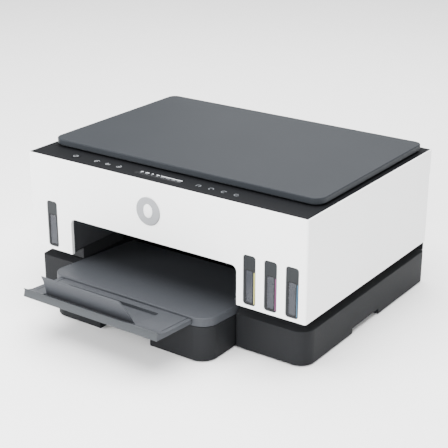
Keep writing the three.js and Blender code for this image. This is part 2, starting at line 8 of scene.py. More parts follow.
import bmesh
import bpy
import numpy as np
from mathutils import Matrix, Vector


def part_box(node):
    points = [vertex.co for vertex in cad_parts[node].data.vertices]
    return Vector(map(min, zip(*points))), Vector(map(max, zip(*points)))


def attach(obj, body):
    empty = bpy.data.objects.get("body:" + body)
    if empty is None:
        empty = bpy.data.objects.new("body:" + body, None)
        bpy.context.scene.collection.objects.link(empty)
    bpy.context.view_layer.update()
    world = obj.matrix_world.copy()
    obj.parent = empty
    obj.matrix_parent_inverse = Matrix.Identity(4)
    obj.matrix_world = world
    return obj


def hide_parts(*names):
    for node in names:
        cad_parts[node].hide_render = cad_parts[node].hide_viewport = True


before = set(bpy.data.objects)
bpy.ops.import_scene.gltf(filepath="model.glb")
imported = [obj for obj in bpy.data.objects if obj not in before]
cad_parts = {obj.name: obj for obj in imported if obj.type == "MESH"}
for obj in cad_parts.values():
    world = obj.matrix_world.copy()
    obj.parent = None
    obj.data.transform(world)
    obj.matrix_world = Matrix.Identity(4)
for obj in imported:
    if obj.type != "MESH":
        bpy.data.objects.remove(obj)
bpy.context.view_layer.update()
MM = 0.001

# %% [markdown]
# ## Camera, light and floor
# The printer stands on a pale floor inside a white tent, seen from above and to the right through
# a long lens. The tent is a bright world. A large lamp overhead lights the top, and four smaller
# ones give each face its own tone: one at the front left, one low in front that reaches into the
# paper mouth, one at the right and one behind.

# %% Camera
SHELL_LOW, SHELL_HIGH = (np.array(corner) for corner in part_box("upper_shell"))
MIDDLE_Y = (SHELL_LOW[1] + SHELL_HIGH[1]) / 2  # the middle of the white housing


def aim(name, kind, azimuth, elevation, place):
    """An object whose -Z axis looks along azimuth (0 is +Y, then towards -X) and down elevation."""
    thing = bpy.data.objects.new(name, kind)
    thing.location = place
    thing.rotation_euler = (math.radians(90 - elevation), 0, math.radians(azimuth))
    bpy.context.collection.objects.link(thing)
    return thing


lens = bpy.data.cameras.new("studio_camera")
lens.lens = 90.54
lens.sensor_width = 36
lens.clip_end = 20
EYE = (0.8180, MIDDLE_Y - 1.1734, 0.6633)
AZIMUTH, ELEVATION = 35.24, 21.70
bpy.context.scene.camera = aim("studio_camera", lens, AZIMUTH, ELEVATION, EYE)
print("camera at", EYE)

# %% Light
world = bpy.data.worlds.new("white_tent")
bpy.context.scene.world = world
world.use_nodes = True
world.node_tree.nodes["Background"].inputs["Color"].default_value = (1, 1, 1, 1)
world.node_tree.nodes["Background"].inputs["Strength"].default_value = 0.8


def soft_lamp(name, azimuth, elevation, distance, size, watts, target):
    """A square lamp that looks at the target from distance metres away."""
    lamp = bpy.data.lights.new(name, "AREA")
    lamp.shape, lamp.size, lamp.energy = "SQUARE", size, watts
    turn, tilt = math.radians(azimuth), math.radians(elevation)
    level = math.cos(tilt)
    back = np.array([math.sin(turn) * level, -math.cos(turn) * level, math.sin(tilt)])
    return aim(name, lamp, azimuth, elevation, np.asarray(target) + distance * back)


left_edge = (SHELL_LOW[0], SHELL_LOW[1], 0.15)
right_edge = (SHELL_HIGH[0], SHELL_LOW[1], 0.15)
mouth = (0, SHELL_LOW[1], 0.09)
soft_lamp("ceiling", 0, 88, 2.4, 3.2, 280, (0, MIDDLE_Y, 0.1))
soft_lamp("front_left", -30, 14, 0.95, 0.5, 13, left_edge)
soft_lamp("front_fill", 20, 15, 1.1, 0.8, 14, mouth)
soft_lamp("front_right", 70, 25, 0.75, 0.5, 1.0, right_edge)
soft_lamp("rear_left", 205, 30, 1.5, 0.8, 2.5, (0, MIDDLE_Y, 0.21))

# %% [markdown]
# ## Nodes and colours
# Every finish is a small graph: a pattern on Object coordinates, so that it stays on the part,
# feeding colour, roughness and bump of one Principled shader.

# %% Helpers for materials


def linear(hex_code, alpha=1.0):
    """sRGB hex to linear: c / 12.92 below 0.04045, else ((c + 0.055) / 1.055) to the power 2.4."""
    channels = [int(hex_code[i : i + 2], 16) / 255 for i in (0, 2, 4)]
    return [c / 12.92 if c <= 0.04045 else ((c + 0.055) / 1.055) ** 2.4 for c in channels] + [alpha]


def node(material, kind, settings=None, **links):
    """Adds a node. Settings name its properties or sockets; links join sockets to sources."""
    made = material.node_tree.nodes.new(kind)
    for key, value in (settings or {}).items():
        if key in made.inputs:
            made.inputs[key].default_value = value
        else:
            setattr(made, key, value)
    for key, source in links.items():
        material.node_tree.links.new(source, made.inputs[key.replace("_", " ")])
    return made


def shader(name, **values):
    """A material with one Principled shader, its constants on its own sockets."""
    material = bpy.data.materials.new(name)
    material.use_nodes = True
    principled = material.node_tree.nodes["Principled BSDF"]
    for key, value in values.items():
        principled.inputs[key.replace("_", " ")].default_value = value
    return material, principled


def link(material, source, target):
    material.node_tree.links.new(source, target)


def moulded(name, colour, shade, roughness, grain, depth, shine=0.3):
    """Injection-moulded plastic. A cloudy noise blends colour and shade, and a fine one, with
    grain metres between its pits, gives the spark-eroded texture of the mould as a bump of
    depth metres and a small change of roughness."""
    material, principled = shader(name, Specular_IOR_Level=shine)
    place = node(material, "ShaderNodeTexCoord").outputs["Object"]
    cloud = node(material, "ShaderNodeTexNoise", {"Scale": 9.0, "Detail": 3.0}, Vector=place)
    pits = node(material, "ShaderNodeTexNoise", {"Scale": 1 / grain, "Detail": 2.0}, Vector=place)
    tint = node(material, "ShaderNodeMix", {"data_type": "RGBA"}, Factor=cloud.outputs["Fac"])
    tint.inputs["A"].default_value = linear(colour)
    tint.inputs["B"].default_value = linear(shade)
    link(material, tint.outputs["Result"], principled.inputs["Base Color"])
    gloss = node(material, "ShaderNodeMapRange",
                 {"To Min": roughness - 0.05, "To Max": roughness + 0.05})
    link(material, pits.outputs["Fac"], gloss.inputs["Value"])
    link(material, gloss.outputs["Result"], principled.inputs["Roughness"])
    bump = node(material, "ShaderNodeBump", {"Strength": 0.6, "Distance": depth})
    link(material, pits.outputs["Fac"], bump.inputs["Height"])
    link(material, bump.outputs["Normal"], principled.inputs["Normal"])
    return material


# %% [markdown]
# ## The plastics
# The housing is white ABS with a smooth satin skin. The base and trays are charcoal and grey ABS
# from a spark-eroded mould, whose pits are about half a millimetre apart. They are drawn at about
# a millimetre, so that they still show when the whole printer is in view.

# %% Plastics
WHITE_ABS = moulded("satin_white_abs", "F6F7F7", "F0F1F1", 0.45, 0.0012, 0.00004)
CHARCOAL_ABS = moulded("eroded_charcoal_abs", "191A1C", "17181A", 0.6, 0.0010, 0.00012, shine=0.12)
TRAY_ABS = moulded("eroded_grey_abs", "3A3C40", "36383C", 0.55, 0.0010, 0.0001, shine=0.15)
LIP_ABS = moulded("satin_light_grey_abs", "34373A", "313437", 0.5, 0.0010, 0.0001, shine=0.2)
LID_ABS = moulded("satin_lid_abs", "222529", "272A2E", 0.45, 0.0009, 0.00008, shine=0.12)
STRIP_FILM = moulded("satin_control_film", "131416", "151618", 0.6, 0.0009, 0.00003, shine=0.05)
INNER_ABS = moulded("black_inner_abs", "1C1C1E", "222224", 0.6, 0.0014, 0.00012, shine=0.15)
# The duct is the black inner plastic drawn lighter: painted light for the dim inside of the paper
# mouth.
DUCT_PAINTED_LIGHT_ABS = moulded("duct_abs_painted_light", "3C3D40", "37383B", 0.6, 0.0014, 0.00012, shine=0.15)
# The chassis is the black inner plastic drawn a little lighter: painted light for the dim inside.
CHASSIS_PAINTED_LIGHT_ABS = moulded("chassis_abs_painted_light", "2A2B2D", "262729", 0.6, 0.0014, 0.00012, shine=0.12)
WINDOW_PLATE = moulded("window_plate_abs", "1F2123", "232527", 0.45, 0.0010, 0.00005, shine=0.15)
NYLON = moulded("natural_nylon", "DDD8CA", "D3CEBF", 0.45, 0.0012, 0.00004)
LATCH_ABS = moulded("blue_touch_point_abs", "2F6FAE", "2B67A3", 0.4, 0.0012, 0.00005)
HEAD_PLASTIC = moulded("printhead_plastic", "2A3238", "31393F", 0.45, 0.0012, 0.00005)
RUBBER = moulded("matte_rubber", "1A1A1B", "222223", 0.85, 0.0012, 0.0001, shine=0.2)
FOAM = moulded("white_lid_foam", "F2F2EF", "E9E9E5", 0.7, 0.0018, 0.0001)
BOARD = moulded("green_solder_mask", "1E5032", "26603C", 0.35, 0.0030, 0.00008, shine=0.5)
SOCKET_ABS = moulded("inlet_abs", "151516", "1B1B1C", 0.5, 0.0012, 0.00005)

# %% [markdown]
# ## Metal, glass and light
# Sheet steel shows rolling marks that run one way, so its noise is stretched along X. The badge is
# a satin disc with faint turning rings. Windows are clear plastic over grey tanks.

# %% Metals and glass


def rolled(name, colour, roughness, stretch):
    """Metal with fine marks: a noise squeezed by stretch on each axis moves the roughness."""
    material, principled = shader(name, Metallic=1.0, Base_Color=linear(colour))
    place = node(material, "ShaderNodeTexCoord").outputs["Object"]
    squeeze = node(material, "ShaderNodeMapping", {"Scale": stretch}, Vector=place)
    squeezed = squeeze.outputs["Vector"]
    marks = node(material, "ShaderNodeTexNoise", {"Scale": 1.0, "Detail": 3.0}, Vector=squeezed)
    gloss = node(material, "ShaderNodeMapRange",
                 {"To Min": roughness - 0.08, "To Max": roughness + 0.08})
    link(material, marks.outputs["Fac"], gloss.inputs["Value"])
    link(material, gloss.outputs["Result"], principled.inputs["Roughness"])
    return material


STEEL = rolled("plated_sheet_steel", "B9BABB", 0.35, (12, 900, 900))
BADGE_METAL = rolled("satin_grey_aluminium", "86888B", 0.36, (700, 700, 700))
BADGE_BRIGHT = rolled("satin_bright_aluminium", "D8D9DA", 0.3, (700, 700, 700))


def clear(name, colour, roughness, alpha, **values):
    """Clear plastic or glass that lets part of the view through, with faint waves in its skin."""
    material, principled = shader(name, Base_Color=linear(colour), Roughness=roughness, Alpha=alpha,
                                  **values)
    place = node(material, "ShaderNodeTexCoord").outputs["Object"]
    waves = node(material, "ShaderNodeTexNoise", {"Scale": 60.0, "Detail": 1.0}, Vector=place)
    bump = node(material, "ShaderNodeBump", {"Strength": 0.15, "Distance": 0.0002})
    link(material, waves.outputs["Fac"], bump.inputs["Height"])
    link(material, bump.outputs["Normal"], principled.inputs["Normal"])
    return material


SCAN_GLASS = clear("float_glass", "CFDADA", 0.04, 0.3, IOR=1.52)
PANE = clear("smoked_window_plastic", "393B41", 0.25, 0.75, Specular_IOR_Level=0.25)
TANK_PLASTIC = clear("milky_tank_plastic", "8E9298", 0.3, 0.9, IOR=1.5)
DISPLAY_GLASS = clear("display_window", "121315", 0.25, 1.0, Specular_IOR_Level=0.2)


def glowing(name, colour, strength):
    """A lit or printed mark; a little noise keeps its light uneven as a diffused lamp's is.
    On printed marks and the ink strips, which are no lamps, the glow is painted light.
    """
    material, principled = shader(name, Roughness=0.4, Emission_Strength=strength)
    place = node(material, "ShaderNodeTexCoord").outputs["Object"]
    cloud = node(material, "ShaderNodeTexNoise", {"Scale": 400.0}, Vector=place)
    tint = node(material, "ShaderNodeMix", {"data_type": "RGBA"}, Factor=cloud.outputs["Fac"])
    tint.inputs["A"].default_value = linear(colour)
    tint.inputs["B"].default_value = [0.9 * c for c in linear(colour)[:3]] + [1]
    link(material, tint.outputs["Result"], principled.inputs["Base Color"])
    link(material, tint.outputs["Result"], principled.inputs["Emission Color"])
    return material


LIT_MARK = glowing("lit_white_mark", "C4C7CA", 0.6)
KEY_MARK = glowing("lit_key_mark", "8C8F93", 0.2)
# On the printed key rings this glow is painted light; on the display's lines it is the display's
# own light.
DIM_MARK_LIT_AND_PAINTED_GLOW = glowing("dim_mark_lit_and_painted_glow", "787C81", 0.15)
# The ink strips keep the ink's own colour and glow a little: painted light.
INK_STRIPS_PAINTED_GLOW = {
    "yellow": glowing("yellow_level_strip_painted_glow", "BDB862", 0.1),
    "magenta": glowing("magenta_level_strip_painted_glow", "6A2458", 0.05),
    "cyan": glowing("cyan_level_strip_painted_glow", "1F5470", 0.05),
}
INK = {
    "black": moulded("black_ink", "17171A", "1D1D20", 0.2, 0.004, 0.00002),
    "yellow": moulded("yellow_ink", "C9B93A", "C2B032", 0.2, 0.004, 0.00002),
    "magenta": moulded("magenta_ink", "8C2F6E", "842A67", 0.2, 0.004, 0.00002),
    "cyan": moulded("cyan_ink", "23749E", "1F6D95", 0.2, 0.004, 0.00002),
}
print("materials", len(bpy.data.materials))

# %% [markdown]
# ## Surfaces from numbers
# Almost every cover of a printer is a rounded rectangle carried up a profile: the outline gives
# one parameter and the profile's (inset, height) pairs give the other. One function makes that
# grid for all of them, and closes both ends.

# %% Grid surfaces


def outline(x0, x1, y0, y1, radii, steps):
    """Corner i turns through 90 degrees about its centre c_i: p = c_i + r_i (cos a, sin a).
    The corners run anticlockwise from the front left."""
    radii = np.asarray(radii, float)[:, None]
    centre = np.array([[x0, y0], [x1, y0], [x1, y1], [x0, y1]], float)
    inward = np.array([[1, 1], [-1, 1], [-1, -1], [1, -1]], float)
    start = np.radians([180, 270, 360, 450])[:, None]
    angle = start + np.linspace(0, math.pi / 2, steps + 1)[None, :]
    arc = np.stack([np.cos(angle), np.sin(angle)], axis=2)
    return ((centre + inward * radii)[:, None, :] + radii[:, :, None] * arc).reshape(-1, 2)


def grid_piece(name, rings, materials, capped=True):
    """Joins ring r to ring r + 1 and point i to point i + 1, and closes the two ends."""
    levels, count = rings.shape[:2]
    ring = np.arange(count)
    nearby = np.roll(ring, -1)
    base = np.arange(levels - 1)[:, None] * count
    corners = [base + ring, base + nearby, base + count + nearby, base + count + ring]
    quads = np.stack(corners, axis=2)
    faces = quads.reshape(-1, 4).tolist()
    if capped:
        faces += [ring[::-1].tolist(), (ring + (levels - 1) * count).tolist()]
    mesh = bpy.data.meshes.new(name)
    mesh.from_pydata((rings.reshape(-1, 3) * MM).tolist(), [], faces)
    piece = bpy.data.objects.new(name, mesh)
    bpy.context.collection.objects.link(piece)
    for material in materials:
        mesh.materials.append(material)
    return piece


def rounded(low, high, r_low, r_high, steps=5):
    """Profile of (inset, height): a quarter circle of r_low at the foot and r_high at the top."""
    turn = np.linspace(0, math.pi / 2, steps + 1)
    foot = np.stack([r_low * (1 - np.sin(turn)), low + r_low * (1 - np.cos(turn))], axis=1)
    head = np.stack([r_high * (1 - np.cos(turn)), high - r_high * (1 - np.sin(turn))], axis=1)
    return np.concatenate([foot, head])


def slab(name, box, radii, profile, materials, steps=10):
    """Each profile pair (inset, z) gives one ring: the outline pulled in by inset, at height z."""
    x0, x1, y0, y1 = box
    rings = []
    for inset, z in profile:
        radius = np.maximum(np.asarray(radii, float) - inset, 0.2)
        flat = outline(x0 + inset, x1 - inset, y0 + inset, y1 - inset, radius, steps)
        rings.append(np.column_stack([flat, np.full(len(flat), z)]))
    return grid_piece(name, np.array(rings), materials)


def turned(name, profile, centre, materials, axis="z", steps=48):
    """A lathe surface: profile pairs (radius, height) go round the axis through centre."""
    angle = np.linspace(0, 2 * math.pi, steps, endpoint=False)
    radius, height = np.asarray(profile, float).T
    around = np.stack([radius[:, None] * np.cos(angle), radius[:, None] * np.sin(angle),
                       np.repeat(height[:, None], steps, axis=1)], axis=2)
    order = {"z": [0, 1, 2], "x": [2, 0, 1], "y": [1, 2, 0]}[axis]
    return grid_piece(name, around[:, :, order] + np.asarray(centre, float), materials)


# %% [markdown]
# ## Cutting and finishing
# A moulding's openings are cut with a second solid. Real mould edges are never sharp, so each
# piece ends with a small bevel that catches the light, and normals weighted by face size keep
# the flat faces flat.

# %% Cutting and edge rounding


def carve(piece, *tools):
    """Takes each tool out of the piece, one after another, and deletes the tool's mesh."""
    for tool in tools:
        change = piece.modifiers.new("carve", "BOOLEAN")
        change.operation, change.solver, change.object = "DIFFERENCE", "EXACT", tool
        settled = bpy.data.meshes.new_from_object(
            piece.evaluated_get(bpy.context.evaluated_depsgraph_get()))
        piece.modifiers.clear()
        old = piece.data
        piece.data = settled
        bpy.data.meshes.remove(old)
        bpy.data.meshes.remove(tool.data)
    piece.data.name = piece.name
    return piece


def cutter(box, low, high, radii=(0.2, 0.2, 0.2, 0.2), axis="z", steps=8):
    """A straight-sided solid for cutting; its outline lies across the axis."""
    tool = slab("cutting_tool", box, radii, [(0, low), (0, high)], [], steps)
    order = {"z": [0, 1, 2], "x": [2, 0, 1], "y": [1, 2, 0]}[axis]
    points = np.empty(len(tool.data.vertices) * 3)
    tool.data.vertices.foreach_get("co", points)
    tool.data.vertices.foreach_set("co", points.reshape(-1, 3)[:, order].ravel())
    return tool


def finished(piece, body, edge, slot, *nodes, angle=32):
    """Rounds edges that turn by more than angle degrees by edge mm, and sets the piece's body."""
    piece.data.polygons.foreach_set("use_smooth", np.ones(len(piece.data.polygons), bool))
    if edge:
        soften = piece.modifiers.new("soft_edges", "BEVEL")
        soften.width, soften.segments = edge * MM, 2
        soften.limit_method, soften.angle_limit = "ANGLE", math.radians(angle)
        soften.use_clamp_overlap = True
    weigh = piece.modifiers.new("even_shading", "WEIGHTED_NORMAL")
    weigh.keep_sharp = True
    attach(piece, body)
    if nodes:
        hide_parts(*nodes)
    print(piece.name, len(piece.data.polygons), "faces")
    return piece


def refined(name, body, edge, material, slot, merge=0.02):
    """A finer twin of a part whose shape is already right: its mesh is copied, doubles are
    merged, flat regions become single faces, and the edges are rounded."""
    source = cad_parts[name]
    form = bmesh.new()
    form.from_mesh(source.data)
    bmesh.ops.remove_doubles(form, verts=form.verts, dist=merge * MM)
    bmesh.ops.dissolve_limit(form, angle_limit=math.radians(1.0), verts=form.verts,
                             edges=form.edges)
    mesh = bpy.data.meshes.new(f"{name}_moulding")
    form.to_mesh(mesh)
    form.free()
    mesh.materials.clear()
    mesh.materials.append(material)
    piece = bpy.data.objects.new(f"{name}_moulding", mesh)
    bpy.context.collection.objects.link(piece)
    return finished(piece, body, edge, slot, name)


def extent(name):
    """A node's box in millimetres as x0, x1, y0, y1, z0, z1."""
    low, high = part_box(name)
    return [value / MM for pair in zip(low, high) for value in pair]


# %% [markdown]
# ## The white housing
# One moulding makes the front, the sides and a thin rim round the dark top. The paper mouth is cut
# from below, with a short return behind its edge, and four tall slots let the tanks show.

# %% Housing
Y0 = MIDDLE_Y / MM
X0, X1, YF, YR, ZB, ZT = extent("upper_shell")
WALL = 3.0
CAVITY_TOP, RIM_FLOOR, REAR_OPENING = 197.3, 197.0, 166.0  # heights cut inside, on top, behind
MOUTH_LEFT, MOUTH_RIGHT, MOUTH_TOP, MOUTH_RADIUS = -146.5, 119.5, 119.5, 8.0
MOUTH_EDGE, WHITE_DEPTH, MOUTH_DEPTH = 2.5, 4.6, 8.5  # the return: its thickness and its depths
WINDOW_X = {"black": -179.4, "yellow": 138.0, "magenta": 168.0, "cyan": 198.0}
WINDOW_WIDTH, WINDOW_LOW, WINDOW_HIGH, WINDOW_RADIUS = 18.0, 72.3, 137.4, 4.0

housing = slab("housing", (X0, X1, YF, YR), [3, 3, 3, 3], rounded(ZB, ZT, 0.5, 1.0), [WHITE_ABS])
inner_front, return_end = YF + WALL, YF + 12
edge_left, edge_right = MOUTH_LEFT - MOUTH_EDGE, MOUTH_RIGHT + MOUTH_EDGE
carve(
    housing,
    cutter((X0 + WALL, X1 - WALL, YF + MOUTH_DEPTH, YR - WALL), ZB - 5, CAVITY_TOP),
    cutter((X0 + 1.6, X1 - 1.6, YF + 1.2, YR - 1.6), RIM_FLOOR, ZT + 5),
    cutter((X0 + WALL, edge_left, inner_front, return_end), ZB - 5, CAVITY_TOP),
    cutter((edge_right, X1 - WALL, inner_front, return_end), ZB - 5, CAVITY_TOP),
    cutter((MOUTH_LEFT - 5, MOUTH_RIGHT + 5, inner_front, return_end), MOUTH_TOP + MOUTH_EDGE,
           CAVITY_TOP),
    cutter((X0 - 5, X1 + 5, YR - 4, YR + 5), ZB - 5, REAR_OPENING),
)
mouth_radii = (0.2, MOUTH_RADIUS, MOUTH_RADIUS, 0.2)
carve(housing, cutter((ZB - 9, MOUTH_TOP, MOUTH_LEFT, MOUTH_RIGHT), YF - 5, YF + 20, mouth_radii,
                      axis="y", steps=12))
for x in WINDOW_X.values():
    half = WINDOW_WIDTH / 2
    carve(housing, cutter((WINDOW_LOW, WINDOW_HIGH, x - half, x + half), YF - 5, YF + 8,
                          [WINDOW_RADIUS] * 4, axis="y"))
carve(housing, cutter((ZB - 5, MOUTH_TOP + MOUTH_EDGE, edge_left, edge_right), YF + WHITE_DEPTH,
                      YF + 20, axis="y"))
finished(housing, "top_unit", 0.5, "white_plastic", "upper_shell")

# %% [markdown]
# ## Ink windows
# Each slot holds a dark bezel. Its upper part is a plain plate; below it a clear pane sits a
# little back in a black gasket. On the three colour windows a thin strip beside the pane shows
# the colour of the ink, with a faint glow that is painted light.

# %% Ink windows
PANE_LOW, PANE_HIGH, GASKET = 74.6, 118.8, 1.5


def upright(name, x0, x1, z0, z1, y0, y1, radius, material):
    """A rounded plate that stands facing the front, y0 to y1 thick."""
    plate = cutter((z0, z1, x0, x1), y0, y1, [radius] * 4, axis="y")
    plate.name = plate.data.name = name
    plate.data.materials.append(material)
    return plate


def window(ink, x):
    half = WINDOW_WIDTH / 2 - 0.3
    pane_x0, pane_x1 = x - 6.4, x + (5.9 if ink in INK_STRIPS_PAINTED_GLOW else 7.2)
    bezel = upright(f"window_{ink}_bezel", x - half, x + half, WINDOW_LOW + 0.3, WINDOW_HIGH - 0.3,
                    YF + 0.3, YF + 2.8, WINDOW_RADIUS - 0.3, WINDOW_PLATE)
    carve(bezel, upright("tool", pane_x0, pane_x1, PANE_LOW, PANE_HIGH, YF - 3, YF + 5, 2.0, None))
    finished(bezel, "top_unit", 0.3, "window_smoke", f"window_{ink}")
    gasket = upright(f"window_{ink}_gasket", pane_x0 + 0.02, pane_x1 - 0.02, PANE_LOW + 0.02,
                     PANE_HIGH - 0.02, YF + 0.6, YF + 2.2, 2.0, RUBBER)
    carve(gasket, upright("tool", pane_x0 + GASKET, pane_x1 - GASKET, PANE_LOW + GASKET,
                          PANE_HIGH - GASKET, YF - 3, YF + 5, 1.2, None))
    finished(gasket, "top_unit", 0.1, "window_smoke")
    inside = GASKET + 0.02
    pane = upright(f"window_{ink}_pane", pane_x0 + inside, pane_x1 - inside, PANE_LOW + inside,
                   PANE_HIGH - inside, YF + 0.8, YF + 1.7, 1.1, PANE)
    finished(pane, "top_unit", 0.2, "window_smoke")
    if ink in INK_STRIPS_PAINTED_GLOW:
        # The strip's faint glow is painted light.
        strip = upright(f"window_{ink}_strip", x + 6.5, x + 7.6, PANE_LOW + 0.6, PANE_HIGH - 2.4,
                        YF + 0.15, YF + 0.29, 0.3, INK_STRIPS_PAINTED_GLOW[ink])
        finished(strip, "top_unit", 0, "window_smoke")


for ink, x in WINDOW_X.items():
    window(ink, x)

# %% [markdown]
# ## Mouth frame
# The white edge of the paper mouth is thin. Three dark strips behind it carry the opening on to
# the duct: the real duct ends in such a collar. They take the duct's lightened colour: painted
# light.

# %% Mouth frame
COLLAR = 2.4
for side, x0, x1, z0 in (("left", MOUTH_LEFT - COLLAR, MOUTH_LEFT, ZB + 0.5),
                         ("right", MOUTH_RIGHT, MOUTH_RIGHT + COLLAR, ZB + 0.5),
                         ("top", MOUTH_LEFT, MOUTH_RIGHT, MOUTH_TOP)):
    collar = upright(f"mouth_collar_{side}", x0, x1, z0, MOUTH_TOP + COLLAR,
                     YF + WHITE_DEPTH + 0.05, YF + MOUTH_DEPTH, 0.2, DUCT_PAINTED_LIGHT_ABS)
    finished(collar, "top_unit", 0, "black_plastic")

# %% [markdown]
# ## Badge
# A plain satin disc with a raised drop marks the front. The drop's outline is a circle whose
# radius is drawn out towards one side: r(a) = r0 (1 + k ((1 + cos a) / 2)^4).

# %% Badge
BX0, BX1, BY0, BY1, BZ0, BZ1 = extent("badge")
BADGE_AT = ((BX0 + BX1) / 2, (BZ0 + BZ1) / 2)
BADGE_RADIUS = (BX1 - BX0) / 2
disc_profile = [(0.01, 0.0), (BADGE_RADIUS - 0.4, 0.0), (BADGE_RADIUS, 0.3),
                (BADGE_RADIUS - 0.15, 0.6), (BADGE_RADIUS - 0.8, 0.72), (BADGE_RADIUS - 1.6, 0.6),
                (0.01, 0.6)]
dome = turned("badge_disc", disc_profile, (0, 0, 0), [BADGE_METAL], steps=96)


def facing_front(piece, x, z, y):
    """Stands a piece that was drawn lying down, z up, so that its top faces the front at y."""
    points = np.empty(len(piece.data.vertices) * 3)
    piece.data.vertices.foreach_get("co", points)
    flat = points.reshape(-1, 3)
    stood = np.column_stack([flat[:, 0] + x * MM, y * MM - flat[:, 2], flat[:, 1] + z * MM])
    piece.data.vertices.foreach_set("co", stood.ravel())
    return piece


facing_front(dome, *BADGE_AT, BY1)
finished(dome, "top_unit", 0, "badge_metal", "badge")
angle = np.linspace(0, 2 * math.pi, 64, endpoint=False)
reach = 6.2 * (1 + 0.95 * ((1 + np.cos(angle)) / 2) ** 4)
shape = np.column_stack([reach * np.sin(angle), reach * np.cos(angle) - 2.5])
levels = [(1.0, 0.55), (1.0, 0.72), (0.95, 0.82), (0.01, 0.86)]
drop_rings = np.array([np.column_stack([shape * s, np.full(64, h)]) for s, h in levels])
drop = grid_piece("badge_drop", drop_rings[:, ::-1], [BADGE_BRIGHT])
facing_front(drop, *BADGE_AT, BY1)
finished(drop, "top_unit", 0, "badge_metal")

# %% [markdown]
# ## The dark top
# The control strip and the frame round the glass are dark and flush with the white rim. Plain
# marks stand for the keys: a ring for power, and small bars and dots for the others.

# %% Control strip
PX0, PX1, PY0, PY1, PZ0, PZ1 = extent("control_panel")
DX0, DX1, DY0, DY1, DZ0, DZ1 = extent("display")
BUTTON = extent("power_button")
BUTTON_AT = ((BUTTON[0] + BUTTON[1]) / 2, (BUTTON[2] + BUTTON[3]) / 2)
strip = slab("control_strip", (PX0, PX1, PY0, PY1), [2, 2, 0.4, 0.4],
             rounded(PZ0, PZ1, 0.1, 0.3), [STRIP_FILM])
carve(strip, cutter((DX0 - 0.3, DX1 + 0.3, DY0 - 0.3, DY1 + 0.3), DZ0 - 0.3, PZ1 + 5, [1.2] * 4))
hole = turned("hole", [(6.8, PZ0 - 1), (6.8, PZ1 + 1)], (*BUTTON_AT, 0), [])
carve(strip, hole)
finished(strip, "top_unit", 0.15, "panel_gloss", "control_panel")
screen = slab("display_window", (DX0, DX1, DY0, DY1), [1] * 4, rounded(DZ0, DZ1, 0.1, 0.15),
              [DISPLAY_GLASS])
finished(screen, "top_unit", 0, "display_glass", "display")
key_profile = [(0.01, BUTTON[4]), (6.3, BUTTON[4]), (6.5, BUTTON[4] + 0.3), (6.5, PZ1),
               (6.3, PZ1 + 0.25), (5.9, PZ1 + 0.33), (0.01, PZ1 + 0.3)]
button = turned("power_key", key_profile, (*BUTTON_AT, 0), [STRIP_FILM])
finished(button, "power_button", 0, "panel_gloss", "power_button")


def ring_mark(name, x, y, radius, width, z, start, sweep, material, body="top_unit"):
    """A flat arc: p = centre + r (cos a, sin a), with a section width across and 0.06 high."""
    angle = np.radians(np.linspace(start, start + sweep, 33))
    section = np.array([(-0.5, 0), (0.5, 0), (0.5, 0.06), (-0.5, 0.06)]) * [width, 1]
    reach = radius + section[:, 0]
    rings = np.stack([x + reach * np.cos(angle)[:, None], y + reach * np.sin(angle)[:, None],
                      np.broadcast_to(z + section[:, 1], (33, 4))], axis=2)
    piece = grid_piece(name, rings[::-1], [material])
    return finished(piece, body, 0, "panel_gloss")


def bar_mark(name, x, y, long, wide, z, material, body="top_unit"):
    box = (x - long / 2, x + long / 2, y - wide / 2, y + wide / 2)
    radii = [min(long, wide) * 0.45] * 4
    piece = slab(name, box, radii, [(0, z), (0, z + 0.06)], [material], steps=4)
    return finished(piece, body, 0, "panel_gloss")


MARK_Z, KEY_TOP = PZ1 + 0.02, PZ1 + 0.33
KEY_X, KEY_Y = BUTTON_AT
ring_mark("power_ring", KEY_X, KEY_Y, 3.1, 0.8, KEY_TOP, 120, 300, KEY_MARK, "power_button")
bar_mark("power_bar", KEY_X, KEY_Y + 2.6, 0.8, 3.0, KEY_TOP, KEY_MARK, "power_button")
for i, x in enumerate([-114.5, -95.5, -77.5]):
    ring_mark(f"key_ring_left_{i}", x, KEY_Y, 3.2, 0.9, MARK_Z, 30 + 90 * i, 250, KEY_MARK)
    bar_mark(f"key_bar_left_{i}", x, KEY_Y, 2.6 + 0.8 * i, 1.4, MARK_Z, KEY_MARK)
# The right keys' printed rings glow a little: painted light.
for i, x in enumerate([48.5, 67.5, 86.3, 104.9]):
    ring_mark(f"key_ring_right_{i}", x, KEY_Y, 3.0, 0.8, MARK_Z, -60 + 45 * i, 280, DIM_MARK_LIT_AND_PAINTED_GLOW)
DISPLAY_WIDE = DX1 - DX0
for i, long in enumerate([4.0, 6.0, 3.0, 5.0, 8.0, 8.6, 8.6, 8.0]):
    x = DX0 + DISPLAY_WIDE * (0.06 + 0.118 * i) + 3
    bar_mark(f"display_word_{i}", x, DY1 - 4.6, long, 1.8, DZ1 + 0.01, LIT_MARK)
    bar_mark(f"display_line_{i}", x + 0.8, DY1 - 8.2, 0.7 * long, 1.1, DZ1 + 0.01, DIM_MARK_LIT_AND_PAINTED_GLOW)

